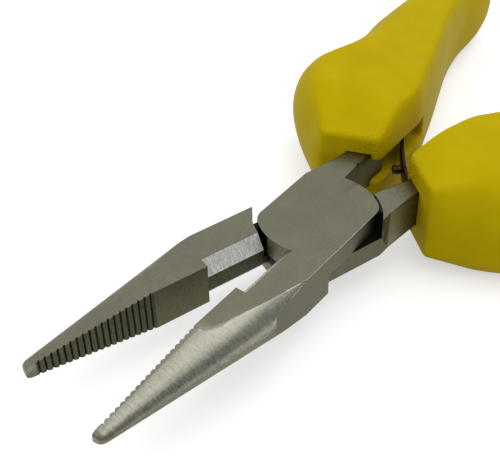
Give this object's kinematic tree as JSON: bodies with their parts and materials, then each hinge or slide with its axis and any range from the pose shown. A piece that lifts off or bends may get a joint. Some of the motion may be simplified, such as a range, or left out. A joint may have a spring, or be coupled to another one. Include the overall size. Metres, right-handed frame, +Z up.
{
  "type": "needle nose pliers",
  "caption": "Long-nose pliers with side cutters, toothed tapered jaws, lap joint, moulded grips and a leaf spring that opens them.",
  "frame": {"origin": "pivot axis where it meets the ground underside of the joint", "axes": "+Z up along the pivot axis, -Y towards the jaw tips, +Y towards the handles, X across the jaws"},
  "size_m": [0.0786, 0.1567, 0.0228],
  "materials": {
    "forged_steel": "ground and satin, black oxide left in the recesses of the joint",
    "rivet_steel": "ground flush",
    "yellow_plastic": "satin moulded",
    "spring_steel": "blued, dark brown"
  },
  "bodies": {
    "lower": {"lower_half": "forged_steel", "lower_grip": "yellow_plastic", "spring_leaf": "spring_steel", "spring_rivet": "spring_steel", "spring_stud": "spring_steel"},
    "upper": {"upper_half": "forged_steel", "upper_grip": "yellow_plastic", "pivot_rivet": "rivet_steel"}
  },
  "joints": [
    {"name": "pivot", "type": "hinge", "parent": "lower", "child": "upper", "pos_m": [0, 0, 0], "axis": [0, 0, 1], "range_deg": [-17, 15], "stiffness_Nm_per_rad": 0.6, "deforming": ["spring_leaf", "spring_stud"]}
  ]
}
